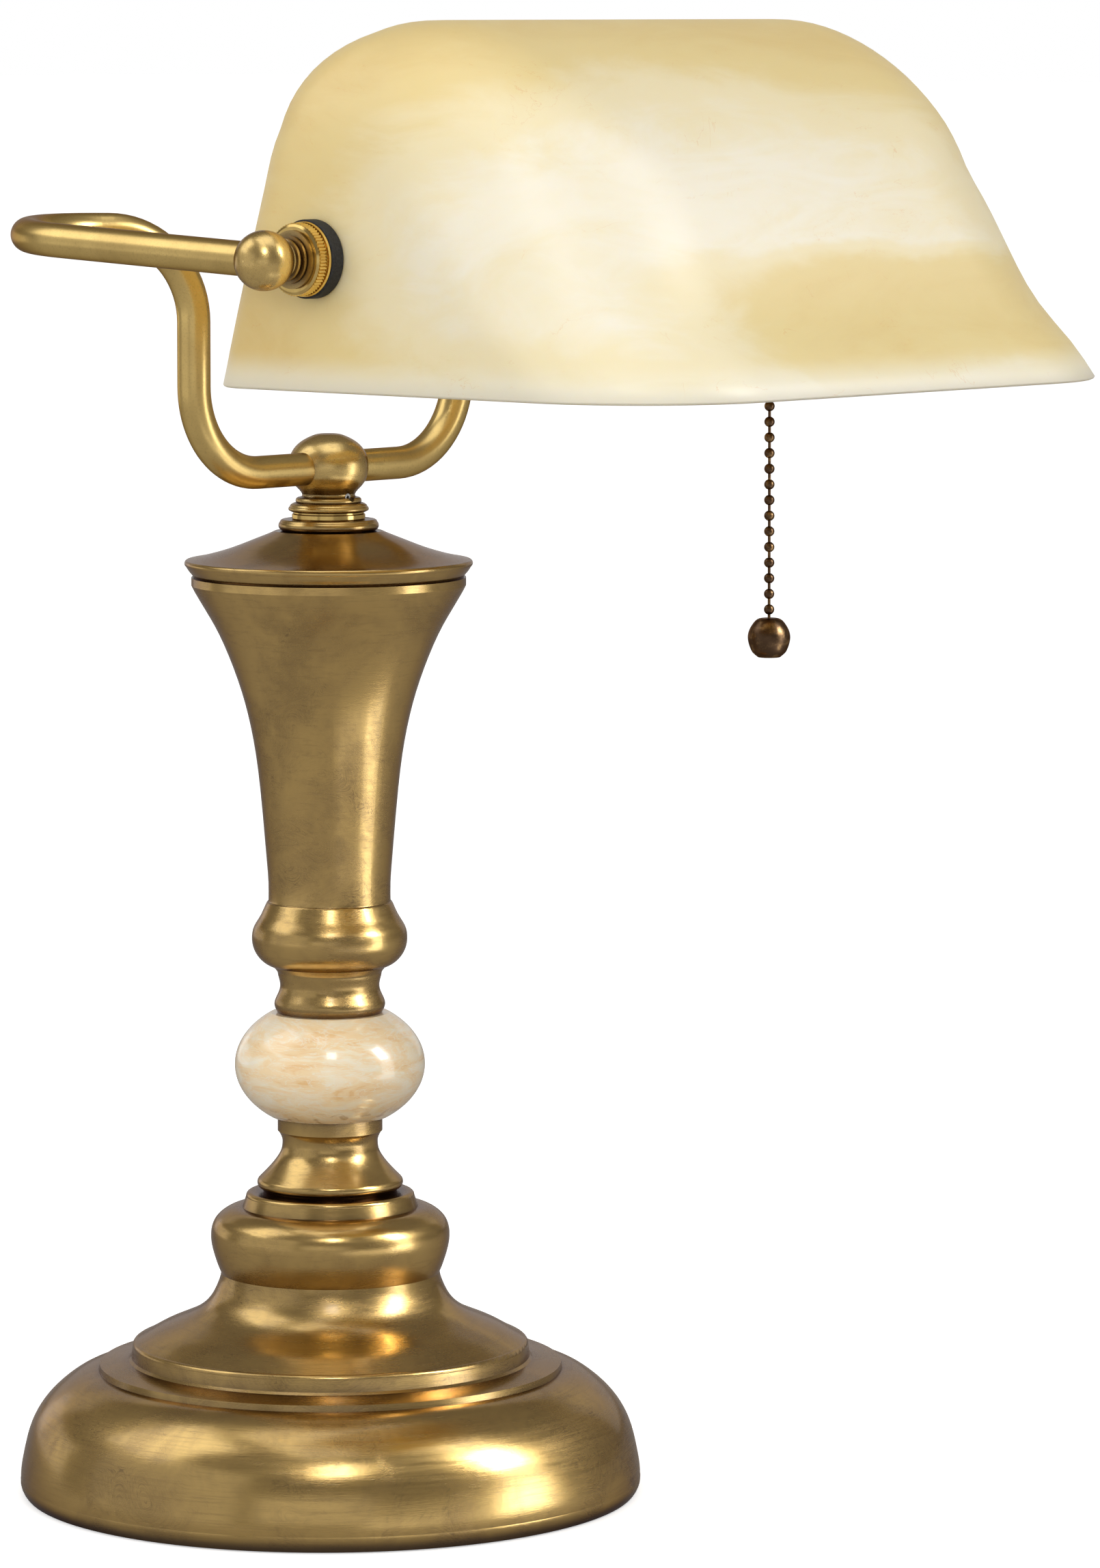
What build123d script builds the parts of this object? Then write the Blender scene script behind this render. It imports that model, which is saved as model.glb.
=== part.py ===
"""Banker desk lamp: a turned brass stem on a weighted base, a bent-tube yoke and a tilting glass shade.

Units are millimetres. +Z is up and the shade reaches forward towards -Y. The origin is the middle of
the felt pad's underside, on the axis of the stem. Left is -X and right is +X.
"""
from build123d import *
import math
import os

os.makedirs("parts", exist_ok=True)

# ---------------------------------------------------------------- driving dimensions
FELT_T = 2.0              # felt pad under the base
FELT_R = 92.0
RIM_Z = 0.4               # the shell's rim hides the felt's edge
WALL = 1.2                # spun brass wall
ROD_R = 4.9               # threaded rod and nipples, M10 size
ROD_BORE = 3.6
ROD_HOLE = 5.2            # clearance hole for the rod through every stacked piece
ROD_BOTTOM = 9.0

NECK_Z = 93.0             # top of the base, foot of the lower neck
STONE_Z0, STONE_Z1 = 116.4, 148.4
CREASE_Z = 162.8          # joint between the upper neck and the vase
VASE_TOP = 282.4          # rim of the vase, where the cap sits
CAP_SEAT = 296.6          # flat on the cap for the check ring
COLLAR_Z = 300.2
HUB_Z = 302.4             # foot of the yoke hub
TUBE_Z = 315.9            # cross bore of the hub

TUBE_R = 5.0              # yoke tube, 10 mm outside
TUBE_BORE = 4.0
RISER_X = 58.0            # the two risers stand this far from the stem axis
PIVOT_X = 133.5           # centres of the end balls
PIVOT_Y = -103.0          # tilt axis, forward of the stem
PIVOT_Z = 385.1           # tilt axis, above the table
LOOP_SLOPE = 0.046        # the loops at the top of the yoke lean down towards the front
LOOP_BACK = math.radians(20)   # each riser turns outward and this much backward
BEND_LOW, BEND_HIGH, BEND_LOOP = 27.0, 28.0, 34.0

BALL_R = 8.6
FLANGE_U = 11.6           # distances along the tilt axis, inward from the end ball's centre
NUT_U = 16.4
PAD_U = 20.9
SHADE_HALF = 112.5        # half length of the glass, flat end to flat end
GLASS_T = 4.0
RUN_GAP = 0.1             # running clearance of the glass on its pivots
LIP_Z = 347.0
SHADE_H = 105.5

SOCKET_X = 101.0          # outer end of the lamp socket's cap
CHAIN_X = 86.5
BEAD_R = 1.6
BEAD_PITCH = 4.78
LAST_BEAD_Z = 272.8
BEADS = 22                # the top ones stand inside the socket


def inset(points, wall):
    """The same outline moved inward by the wall, along the local normal."""
    moved = []
    for i, (r, z) in enumerate(points):
        r0, z0 = points[max(i - 1, 0)]
        r1, z1 = points[min(i + 1, len(points) - 1)]
        length = math.hypot(r1 - r0, z1 - z0)
        moved.append((r - wall * (z1 - z0) / length, z + wall * (r1 - r0) / length))
    return moved


def write(part, name):
    part.label = name
    export_step(part, f"parts/{name}.step")


# ---------------------------------------------------------------- base
DOME = [(95.4, 5.2), (94.5, 12.4), (92.0, 21.5), (86.6, 29.8), (80.4, 35.0), (71.4, 38.0)]
STEP = [(71.4, 38.0), (71.0, 39.9), (62.2, 41.2), (61.3, 41.9), (60.9, 45.4)]
CONE = [(59.6, 46.9), (53.1, 50.5), (43.1, 54.9), (37.4, 59.4), (34.8, 64.0), (33.6, 68.0)]
TORUS = [(33.6, 68.0), (35.3, 72.4), (36.7, 78.8), (35.4, 84.4), (32.0, 87.3), (27.0, 88.3)]
RING = [(27.0, 88.3), (25.9, 91.6)]


def base_outline():
    """The outside of the base, from the bottom rim to the seat of the lower neck."""
    ThreePointArc((93.9, RIM_Z), (95.1, 2.2), DOME[0])
    Spline(*DOME, tangents=[(0, 1), (-1, 0.12)])
    Polyline(*STEP)
    ThreePointArc(STEP[-1], (60.6, 46.4), CONE[0])
    Spline(*CONE, tangents=[(-1, 0.5), (-0.15, 1)])
    Spline(*TORUS, tangents=[(0.5, 1), (-1, 0)])
    Polyline(*RING)
    ThreePointArc(RING[-1], (25.5, 92.6), (24.6, NECK_Z))


with BuildPart() as base_envelope:
    with BuildSketch(Plane.XZ):
        with BuildLine():
            base_outline()
            Polyline((24.6, NECK_Z), (0, NECK_Z), (0, RIM_Z), (93.9, RIM_Z))
        make_face()
    revolve(axis=Axis.Z)

INNER = inset(DOME, WALL) + inset(STEP[1:], WALL) + inset(CONE, WALL) + inset(TORUS[1:], WALL)

with BuildPart() as base_shell:
    with BuildSketch(Plane.XZ):
        with BuildLine():
            base_outline()
            Polyline((24.6, NECK_Z), (ROD_HOLE, NECK_Z), (ROD_HOLE, NECK_Z - WALL))
            Polyline((ROD_HOLE, NECK_Z - WALL), (24.2, NECK_Z - WALL), INNER[-1])
            Polyline(*INNER[::-1])
            Polyline(INNER[0], (93.2, 3.4), (92.5, RIM_Z), (93.9, RIM_Z))
        make_face()
    revolve(axis=Axis.Z)
    BUSH_Z = 10.0
    BUSH_HOLE = 5.0
    with BuildSketch(Plane.XZ.offset(-99)):
        with Locations((0, BUSH_Z)):
            Circle(BUSH_HOLE)
    extrude(amount=16, mode=Mode.SUBTRACT)

PLATE_TOP = 15.5          # the cast plate, with a rim that bears under the dome and a boss for the rod
RIM_TOP = 28.4
RECESS_TOP = 15.0
with BuildPart() as base_weight:
    with BuildSketch(Plane.XZ):
        with BuildLine():
            Polyline((ROD_HOLE, RECESS_TOP), (17, RECESS_TOP), (17, FELT_T), (88.5, FELT_T), (89.0, 17),
                     (85.0, RIM_TOP), (81.0, RIM_TOP), (79.5, PLATE_TOP), (28, PLATE_TOP), (24, 24),
                     (ROD_HOLE, 24), (ROD_HOLE, RECESS_TOP))
        make_face()
    revolve(axis=Axis.Z)
    with Locations((0, 5, 0)):
        Box(12, 100, 12, align=(Align.CENTER, Align.MIN, Align.MIN), mode=Mode.SUBTRACT)
    with Locations((0, 76, 0)):
        Box(16, 30, 18, align=(Align.CENTER, Align.MIN, Align.MIN), mode=Mode.SUBTRACT)

with BuildPart() as base_felt:
    with BuildSketch():
        Circle(FELT_R)
    extrude(amount=FELT_T)

BUSH_BORE = 3.2
with BuildPart() as cord_bushing:
    with BuildSketch(Plane.XZ.offset(-90)):
        with Locations((0, BUSH_Z)):
            Circle(BUSH_HOLE - 0.05)
    extrude(amount=-6.4)
    with BuildSketch(Plane.XZ.offset(-91)):
        with Locations((0, BUSH_Z)):
            Circle(7.0)
    extrude(amount=-5.4)
    add(base_envelope.part, mode=Mode.SUBTRACT)
    with BuildSketch(Plane.XZ.offset(-88)):
        with Locations((0, BUSH_Z)):
            Circle(BUSH_HOLE - 0.05)
    extrude(amount=-7.5)
    with BuildSketch(Plane.XZ.offset(-80)):
        with Locations((0, BUSH_Z)):
            Circle(BUSH_BORE)
    extrude(amount=-20, mode=Mode.SUBTRACT)

WASHER_T = 1.5
with BuildPart() as bottom_washer:
    with BuildSketch(Plane.XY.offset(RECESS_TOP - WASHER_T)):
        Circle(14)
        Circle(ROD_HOLE, mode=Mode.SUBTRACT)
    extrude(amount=WASHER_T)

with BuildPart() as bottom_nut:
    with BuildSketch(Plane.XY.offset(ROD_BOTTOM + 0.5)):
        RegularPolygon(radius=8, side_count=6, major_radius=False)
        Circle(ROD_R, mode=Mode.SUBTRACT)
    extrude(amount=RECESS_TOP - WASHER_T - ROD_BOTTOM - 0.5)
    chamfer(bottom_nut.faces().sort_by(Axis.Z)[0].outer_wire().edges(), length=0.5)

ROD_TOP = 308.4
with BuildPart() as threaded_rod:
    with BuildSketch(Plane.XY.offset(ROD_BOTTOM)):
        Circle(ROD_R)
        Circle(ROD_BORE, mode=Mode.SUBTRACT)
    extrude(amount=ROD_TOP - ROD_BOTTOM)
    chamfer(threaded_rod.edges().filter_by(GeomType.CIRCLE).filter_by(lambda e: e.radius > 4), length=0.5)

# ---------------------------------------------------------------- turned stem
with BuildPart() as lower_neck:
    with BuildSketch(Plane.XZ):
        with BuildLine():
            Polyline((ROD_HOLE, NECK_Z), (20.4, NECK_Z), (21.0, 94.0))
            ThreePointArc((21.0, 94.0), (22.35, 95.4), (21.9, 97.2))
            Spline((21.9, 97.2), (18.6, 100.6), (15.6, 104.6), (14.65, 108.6),
                   tangents=[(-1, 1), (0, 1)])
            Spline((14.65, 108.6), (15.2, 110.6), (16.1, 111.9), tangents=[(0, 1), (1, 0.8)])
            Polyline((16.1, 111.9), (16.1, STONE_Z0), (ROD_HOLE, STONE_Z0), (ROD_HOLE, NECK_Z))
        make_face()
    revolve(axis=Axis.Z)

STONE_R, STONE_HALF = 29.2, 20.4
STONE_MID = (STONE_Z0 + STONE_Z1) / 2
with BuildPart() as stone_ball:
    with BuildSketch(Plane.XZ):
        with Locations((0, STONE_MID)):
            Ellipse(STONE_R, STONE_HALF)
            Rectangle(STONE_R * 2, STONE_Z1 - STONE_Z0, mode=Mode.INTERSECT)
        with Locations((-STONE_R / 2 + ROD_HOLE, STONE_MID)):
            Rectangle(STONE_R, 60, mode=Mode.SUBTRACT)
        with Locations((-STONE_R, STONE_MID)):
            Rectangle(STONE_R * 2, 60, mode=Mode.SUBTRACT)
    revolve(axis=Axis.Z)

with BuildPart() as upper_neck:
    with BuildSketch(Plane.XZ):
        with BuildLine():
            Polyline((ROD_HOLE, STONE_Z1), (16.0, STONE_Z1))
            Spline((16.0, STONE_Z1), (17.0, 151.2), (15.9, 154.2), (15.25, 157.2), (15.9, 160.2),
                   (17.5, CREASE_Z), tangents=[(0.6, 1), (0.9, 1)])
            Polyline((17.5, CREASE_Z), (ROD_HOLE, CREASE_Z), (ROD_HOLE, STONE_Z1))
        make_face()
    revolve(axis=Axis.Z)

BULGE = [(18.0, CREASE_Z), (20.9, 164.6), (23.3, 168.2), (23.85, 171.4), (23.3, 174.6),
         (20.9, 178.8), (19.1, 182.6), (18.7, 186.5)]
TRUMPET = [(18.7, 186.5), (19.1, 194.0), (20.6, 211.6), (22.7, 229.6), (26.6, 246.9),
           (30.2, 257.2), (34.6, 267.0), (40.3, 276.8), (42.0, 280.0)]
with BuildPart() as vase:
    with BuildSketch(Plane.XZ):
        with BuildLine():
            Spline(*BULGE, tangents=[(1, 0.4), (0, 1)])
            Spline(*TRUMPET, tangents=[(0, 1), (0.45, 1)])
            Polyline(TRUMPET[-1], (42.0, VASE_TOP), (40.4, VASE_TOP), inset(TRUMPET, WALL)[-1])
            Polyline(*inset(TRUMPET, WALL)[::-1])
            Polyline(inset(TRUMPET, WALL)[0], *inset(BULGE, WALL)[-2:2:-1], (21.0, 167.4))
            Polyline((21.0, 167.4), (ROD_HOLE, 167.4), (ROD_HOLE, CREASE_Z), BULGE[0])
        make_face()
    revolve(axis=Axis.Z)

CAP_TOP = [(43.5, 287.7), (36.5, 289.2), (29.1, 291.5), (21.5, 294.5), (16.5, CAP_SEAT)]
with BuildPart() as vase_cap:
    with BuildSketch(Plane.XZ):
        with BuildLine():
            Spline((41.3, VASE_TOP), (42.3, 283.9), (43.7, 285.9), tangents=[(0.2, 1), (0.7, 1)])
            ThreePointArc((43.7, 285.9), (44.05, 287.0), CAP_TOP[0])
            Spline(*CAP_TOP, tangents=[(-1, 0.15), (-1, 0.5)])
            Polyline(CAP_TOP[-1], (ROD_HOLE, CAP_SEAT), (ROD_HOLE, CAP_SEAT - 2), (14, CAP_SEAT - 2),
                     (29.0, 289.4), (39.4, 285.8), (39.4, VASE_TOP), (41.3, VASE_TOP))
        make_face()
    revolve(axis=Axis.Z)

with BuildPart() as check_ring:
    with BuildSketch(Plane.XZ):
        with BuildLine():
            Polyline((ROD_HOLE, CAP_SEAT), (14.3, CAP_SEAT), (14.7, 297.0))
            ThreePointArc((14.7, 297.0), (15.35, 298.3), (14.9, 299.4))
            ThreePointArc((14.9, 299.4), (14.5, 300.0), (13.8, COLLAR_Z))
            Polyline((13.8, COLLAR_Z), (ROD_HOLE, COLLAR_Z), (ROD_HOLE, CAP_SEAT))
        make_face()
    revolve(axis=Axis.Z)

with BuildPart() as lock_collar:
    with BuildSketch(Plane.XZ):
        with BuildLine():
            Polyline((ROD_HOLE, COLLAR_Z), (11.0, COLLAR_Z), (11.2, 300.5), (11.2, 301.7),
                     (10.8, 302.0), (10.8, HUB_Z), (ROD_HOLE, HUB_Z), (ROD_HOLE, COLLAR_Z))
        make_face()
    revolve(axis=Axis.Z)

# ---------------------------------------------------------------- yoke
HUB_BALL = [(8.15, 308.0), (10.0, 310.2), (11.5, 312.5), (12.2, TUBE_Z), (11.9, 319.0), (10.7, 321.6),
            (8.4, 323.9), (5.0, 325.7), (0, 326.4)]
SCREW_Z = 308.8
with BuildPart() as yoke_hub:
    with BuildSketch(Plane.XZ):
        with BuildLine():
            Polyline((0, HUB_Z), (11.2, HUB_Z), (11.8, 302.7))
            ThreePointArc((11.8, 302.7), (12.3, 303.3), (11.9, 304.0))
            Spline((11.9, 304.0), (11.0, 305.0), (9.9, 305.3), tangents=[(-0.2, 1), (-1, 0)])
            ThreePointArc((9.9, 305.3), (9.9, 306.5), (8.8, 306.9))
            ThreePointArc((8.8, 306.9), (8.2, 307.3), HUB_BALL[0])
            Spline(*HUB_BALL, tangents=[(0.5, 1), (-1, 0)])
            Line((0, 326.4), (0, HUB_Z))
        make_face()
    revolve(axis=Axis.Z)
    with BuildSketch(Plane.XY.offset(HUB_Z)):
        Circle(ROD_R)
    extrude(amount=ROD_TOP - HUB_Z, mode=Mode.SUBTRACT)
    with BuildSketch(Plane.XY.offset(HUB_Z)):
        Circle(ROD_BORE)
    extrude(amount=TUBE_Z - HUB_Z, mode=Mode.SUBTRACT)
    with BuildSketch(Plane.YZ):
        with Locations((0, TUBE_Z)):
            Circle(TUBE_R)
    extrude(amount=20, both=True, mode=Mode.SUBTRACT)
    with BuildSketch(Plane.XZ):
        with Locations((0, SCREW_Z - 1.7)):
            Circle(1.25)
    extrude(amount=12, mode=Mode.SUBTRACT)

with BuildPart() as hub_set_screw:
    with BuildSketch(Plane.XZ.offset(ROD_R)):
        with Locations((0, SCREW_Z - 1.7)):
            Circle(1.2)
    extrude(amount=3.2)
    with BuildSketch(Plane.XZ.offset(ROD_R + 1.6)):
        with Locations((0, SCREW_Z - 1.7)):
            RegularPolygon(radius=0.6, side_count=6)
    extrude(amount=3, mode=Mode.SUBTRACT)


def on_loop(x, y):
    """A point of the plane that a yoke loop is bent in, which leans down towards the front."""
    return x, y, PIVOT_Z + LOOP_SLOPE * (y - PIVOT_Y)


def arm_corners(side, start, finish):
    """The corners of one arm's centre line, from the hub to the end ball."""
    corner_y = (PIVOT_X - RISER_X) * math.tan(LOOP_BACK)
    return [start, (side * RISER_X, 0, TUBE_Z), on_loop(side * RISER_X, 0),
            on_loop(side * PIVOT_X, corner_y), finish]


ARM_START = 2.0           # the arms stop short of the middle of the hub, where the lead comes up
for side, name in ((-1, "left_arm"), (1, "right_arm")):
    corners = arm_corners(side, (side * ARM_START, 0, TUBE_Z), on_loop(side * PIVOT_X, PIVOT_Y + 5.0))
    with BuildPart() as arm:
        with BuildLine() as centre_line:
            FilletPolyline(*corners, radius=[BEND_LOW, BEND_HIGH, BEND_LOOP])
        with BuildSketch(Plane(origin=corners[0], z_dir=(side, 0, 0))):
            Circle(TUBE_R)
            Circle(TUBE_BORE, mode=Mode.SUBTRACT)
        sweep(path=centre_line.line)
    run = sum(edge.length for edge in centre_line.edges())
    print(name, "volume over section times length:",
          round(arm.part.volume / (math.pi * (TUBE_R**2 - TUBE_BORE**2) * run), 3))
    write(arm.part, name)


# ---------------------------------------------------------------- pivots, the same at both ends
def pivot_plane(side, u):
    """The plane across the tilt axis, u inward from an end ball's centre, facing inward."""
    return Plane(origin=(side * (PIVOT_X - u), PIVOT_Y, PIVOT_Z), x_dir=(0, 0, 1), z_dir=(-side, 0, 0))


def pivot_section(side):
    """The half section plane of a pivot: x runs inward along the tilt axis and y is the radius."""
    return Plane(origin=(side * PIVOT_X, PIVOT_Y, PIVOT_Z), x_dir=(-side, 0, 0), z_dir=(0, side, 0))


def tilt_axis():
    return Axis((0, PIVOT_Y, PIVOT_Z), (1, 0, 0))


NECK_U = 6.8
NECK_RINGS = [(NECK_U, math.sqrt(BALL_R**2 - NECK_U**2)), (7.4, 5.4), (7.7, 6.1), (8.5, 6.1),
              (8.8, 5.6), (9.2, 5.6), (9.4, 6.9), (10.2, 6.9), (10.5, 6.3), (10.8, 8.3), (FLANGE_U, 8.3)]
GLASS_U = PIVOT_X - SHADE_HALF
KNURLS = 64
NUT_GAP = 0.05            # the nuts turn, so they clear their neighbours

for side, hand in ((-1, "left"), (1, "right")):
    arm_end = Plane(origin=on_loop(side * PIVOT_X, PIVOT_Y + 5.0), z_dir=(0, 1, LOOP_SLOPE))
    with BuildPart() as end_ball:
        with BuildSketch(pivot_section(side)):
            with BuildLine():
                ThreePointArc((-BALL_R, 0), (0, BALL_R), NECK_RINGS[0])
                Polyline(*NECK_RINGS)
                Polyline(NECK_RINGS[-1], (FLANGE_U, 0), (-BALL_R, 0))
            make_face()
        revolve(axis=tilt_axis())
        with BuildSketch(arm_end):
            Circle(TUBE_R)
        extrude(amount=12, mode=Mode.SUBTRACT)
        with BuildSketch(pivot_plane(side, 4.0)):
            Circle(ROD_R)
        extrude(amount=12, mode=Mode.SUBTRACT)
        with BuildSketch(pivot_plane(side, -3.4)):
            Circle(ROD_BORE)
        extrude(amount=12, mode=Mode.SUBTRACT)
        with BuildSketch(arm_end):
            Circle(ROD_BORE)
        extrude(amount=-5, mode=Mode.SUBTRACT)
    write(end_ball.part, f"{hand}_end_ball")

    nut_near, nut_far = FLANGE_U + NUT_GAP, NUT_U - NUT_GAP
    with BuildPart() as knurled_nut:
        with BuildSketch(pivot_section(side)):
            with BuildLine():
                Polyline((nut_near, ROD_R + NUT_GAP), (nut_near, 9.3), (12.1, 10.0), (15.4, 10.0),
                         (15.4, 10.6), (16.1, 10.75), (nut_far, 10.5), (nut_far, ROD_R + NUT_GAP),
                         (nut_near, ROD_R + NUT_GAP))
            make_face()
        revolve(axis=tilt_axis())
        with BuildSketch(pivot_plane(side, 12.3)):
            with BuildLine():
                Polyline(*[(r * math.cos(t), r * math.sin(t)) for i in range(2 * KNURLS)
                           for r, t in ((10.4 if i % 2 else 10.05, math.pi * i / KNURLS),)], close=True)
            make_face()
            Circle(9.0, mode=Mode.SUBTRACT)
        extrude(amount=2.8)
    write(knurled_nut.part, f"{hand}_knurled_nut")

    with BuildPart() as outer_pad:
        with BuildSketch(pivot_plane(side, NUT_U)):
            Circle(11.25)
            Circle(ROD_R + 0.1, mode=Mode.SUBTRACT)
        extrude(amount=PAD_U - NUT_U)
        rims = outer_pad.edges().filter_by(GeomType.CIRCLE).filter_by(lambda e: e.radius > 10)
        fillet(rims, radius=0.5)
    write(outer_pad.part, f"{hand}_outer_pad")

    inner_u = GLASS_U + GLASS_T + RUN_GAP
    with BuildPart() as inner_pad:
        with BuildSketch(pivot_plane(side, inner_u)):
            Circle(9.5)
            Circle(ROD_R + 0.1, mode=Mode.SUBTRACT)
        extrude(amount=2.0)
    write(inner_pad.part, f"{hand}_inner_pad")

    with BuildPart() as lock_nut:
        with BuildSketch(pivot_plane(side, inner_u + 2.0)):
            RegularPolygon(radius=7, side_count=6, major_radius=False)
            Circle(ROD_R + 0.02, mode=Mode.SUBTRACT)
        extrude(amount=2.8)
    write(lock_nut.part, f"{hand}_lock_nut")

    with BuildPart() as nipple:
        with BuildSketch(pivot_plane(side, 4.0)):
            Circle(ROD_R)
            Circle(ROD_BORE, mode=Mode.SUBTRACT)
        extrude(amount=inner_u + 2.0 + 2.8 + 1.6 + (4.0 if side > 0 else 0.0) - 4.0)
    write(nipple.part, f"{hand}_nipple")


# ---------------------------------------------------------------- glass shade
STRAIGHT_H = 60.0         # the flat ends are upright to this height above the lip
CROWN_H = SHADE_H - STRAIGHT_H
CROWN_POWER = 2.4
FLAT_HALF = 70.0          # half length of the flat of the crown
LIP_BACK, LIP_FRONT = 44.0, 128.0     # from the tilt axis to the two long edges of the lip


def crown(height):
    """0 below the shoulder, rising to 1 at the crown, along a quarter of a full-shouldered ellipse."""
    t = min(max((height - STRAIGHT_H) / CROWN_H, 0.0), 1.0)
    return 1.0 - max(1.0 - t**CROWN_POWER, 0.0) ** (1 / CROWN_POWER)


def half_length(height):
    return SHADE_HALF - (SHADE_HALF - FLAT_HALF) * crown(height)


def back_depth(height):
    """How far the glass reaches behind the tilt axis: it leans in, then rounds over."""
    return LIP_BACK - 13.0 * min(height / STRAIGHT_H, 1.25) ** 1.1 - 36.0 * crown(height)


def front_depth(height):
    """How far the glass reaches in front of the tilt axis: an ogee that flares out to the lip."""
    flare = 9.0 * math.exp(-((height / 18.0) ** 2.6))
    lean = 0.52 * height + 0.006 * max(height - 45.0, 0.0) ** 2
    return LIP_FRONT - 9.0 + flare - lean - 25.0 * crown(height)


def corner_radii(height):
    """Plan radii of the back and front corners."""
    t = min(height / STRAIGHT_H, 1.0)
    return 12.0 + 8.0 * t, 46.0 + 12.0 * t


def shade_section(height, inset_by, placed_at):
    """The outline of the glass at one height, moved inward for the hollow, as a face placed at another."""
    half = half_length(height) - inset_by
    back = PIVOT_Y + back_depth(height) - inset_by
    front = PIVOT_Y - front_depth(height) + inset_by
    back_r, front_r = corner_radii(height)
    room = min(half, (back - front) / 2) - 0.5
    back_r, front_r = min(back_r - inset_by, room), min(front_r - inset_by, room)
    corners = ((half - back_r, back - back_r, back_r, 0), (-half + back_r, back - back_r, back_r, 90),
               (-half + front_r, front + front_r, front_r, 180), (half - front_r, front + front_r, front_r, 270))
    with BuildSketch(Plane.XY.offset(LIP_Z + placed_at)) as section:
        with BuildLine():
            arcs = [CenterArc((x, y), radius, start, 90) for x, y, radius, start in corners]
            for arc, following in zip(arcs, arcs[1:] + arcs[:1]):
                Line(arc @ 1, following @ 0)
        make_face()
    return section.sketch.face()


OUTER_LEVELS = [0, 5, 10, 16, 23, 32, 45, 60, 72, 82, 90, 96, 100.5, 103.5, SHADE_H]
INNER_LEVELS = [5, 10, 16, 23, 32, 45, 60, 72, 82, 90, 96, SHADE_H - GLASS_T]
WALL_KEEP = 1.025         # the hollow closes in a little earlier, so the wall stays thick near the crown
with BuildPart() as glass_shade:
    loft([shade_section(height, 0.0, height) for height in OUTER_LEVELS], ruled=True)
    hollow = [shade_section(0, GLASS_T, -2)]
    hollow += [shade_section(height * WALL_KEEP, GLASS_T, height) for height in INNER_LEVELS]
    loft(hollow, ruled=True, mode=Mode.SUBTRACT)
    with BuildSketch(Plane.YZ):
        with Locations((PIVOT_Y, PIVOT_Z)):
            Circle(ROD_R + RUN_GAP)
    extrude(amount=SHADE_HALF + 5, both=True, mode=Mode.SUBTRACT)

# ---------------------------------------------------------------- lamp socket on the right nipple
def along_socket(x):
    """The plane across the socket's axis at this x, facing left, into the shade."""
    return Plane(origin=(x, PIVOT_Y, PIVOT_Z), x_dir=(0, 0, 1), z_dir=(-1, 0, 0))


def half_section(points):
    """The face inside (x, radius) points about the tilt axis, ready to be turned."""
    with BuildSketch(Plane(origin=(0, PIVOT_Y, PIVOT_Z), x_dir=(1, 0, 0), z_dir=(0, -1, 0))) as section:
        with BuildLine():
            Polyline(*points, close=True)
        make_face()
    return section.sketch


SHELL_R = 17.0
SHELL_OPEN = 44.0         # open end of the socket's shell
CAP_EDGE = 80.0           # joint between the socket's cap and shell
BELL_R, BELL_BORE = 3.4, 2.2

with BuildPart() as socket_cap:
    revolve(half_section([(SOCKET_X, ROD_R), (SOCKET_X, 7.5), (98.5, 8.0), (97.5, 12.0), (94.0, 15.6),
                         (91.0, SHELL_R + 0.4), (CAP_EDGE, SHELL_R + 0.4), (CAP_EDGE, SHELL_R - 0.4),
                         (90.6, SHELL_R - 0.4), (93.4, 14.9), (96.6, 11.4), (97.6, ROD_R)]), axis=tilt_axis())
    with BuildSketch(Plane.XY.offset(PIVOT_Z - 25)):
        with Locations((CHAIN_X, PIVOT_Y)):
            Circle(BELL_R)
    extrude(amount=15, mode=Mode.SUBTRACT)

with BuildPart() as socket_shell:
    revolve(half_section([(CAP_EDGE, SHELL_R - 0.9), (CAP_EDGE, SHELL_R - 0.45), (CAP_EDGE - 0.6, SHELL_R),
                         (SHELL_OPEN + 3, SHELL_R), (SHELL_OPEN + 2, SHELL_R + 0.7), (SHELL_OPEN + 1, SHELL_R + 0.7),
                         (SHELL_OPEN, SHELL_R), (SHELL_OPEN, SHELL_R - 0.6), (CAP_EDGE - 1, SHELL_R - 0.6)]),
            axis=tilt_axis())

with BuildPart() as socket_liner:
    with BuildSketch(along_socket(CAP_EDGE - 1)):
        Circle(SHELL_R - 0.8)
        Circle(SHELL_R - 1.5, mode=Mode.SUBTRACT)
    extrude(amount=CAP_EDGE - SHELL_OPEN - 2)

with BuildPart() as switch_body:
    revolve(half_section([(96.0, 6.0), (96.0, 10.5), (92.5, 14.0), (90.0, 15.3), (72.0, 15.3), (72.0, 0), (84.0, 0),
                          (84.0, 6.0)]), axis=tilt_axis())
    with BuildSketch(Plane.XY.offset(PIVOT_Z - 25)):
        with Locations((CHAIN_X, PIVOT_Y)):
            Circle(BELL_R + 0.3)
    extrude(amount=16, mode=Mode.SUBTRACT)
    with BuildSketch(Plane.XY.offset(PIVOT_Z - 25)):
        with Locations((CHAIN_X, PIVOT_Y)):
            Circle(BEAD_R + 0.5)
    extrude(amount=22, mode=Mode.SUBTRACT)

LAMP_R = 13.0             # crest radius of the lamp base's thread
with BuildPart() as screw_shell:
    revolve(half_section([(72.0, 5.0), (72.0, LAMP_R + 0.8), (SHELL_OPEN + 4, LAMP_R + 0.8),
                         (SHELL_OPEN + 4, LAMP_R + 0.4), (71.6, LAMP_R + 0.4), (71.6, 5.0)]), axis=tilt_axis())

with BuildPart() as bulb_base:
    thread = [(x, LAMP_R - (0.0 if i % 2 else 0.8)) for i, x in enumerate([66.0 - 1.7 * k for k in range(9)])]
    revolve(half_section([(71.2, 0), (71.2, 4.6), (69.8, 5.4), (67.6, 9.6), (66.6, 12.0)] + thread
                         + [(50.5, LAMP_R - 0.4), (46.5, LAMP_R - 0.2), (46.5, 0)]), axis=tilt_axis())

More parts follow.
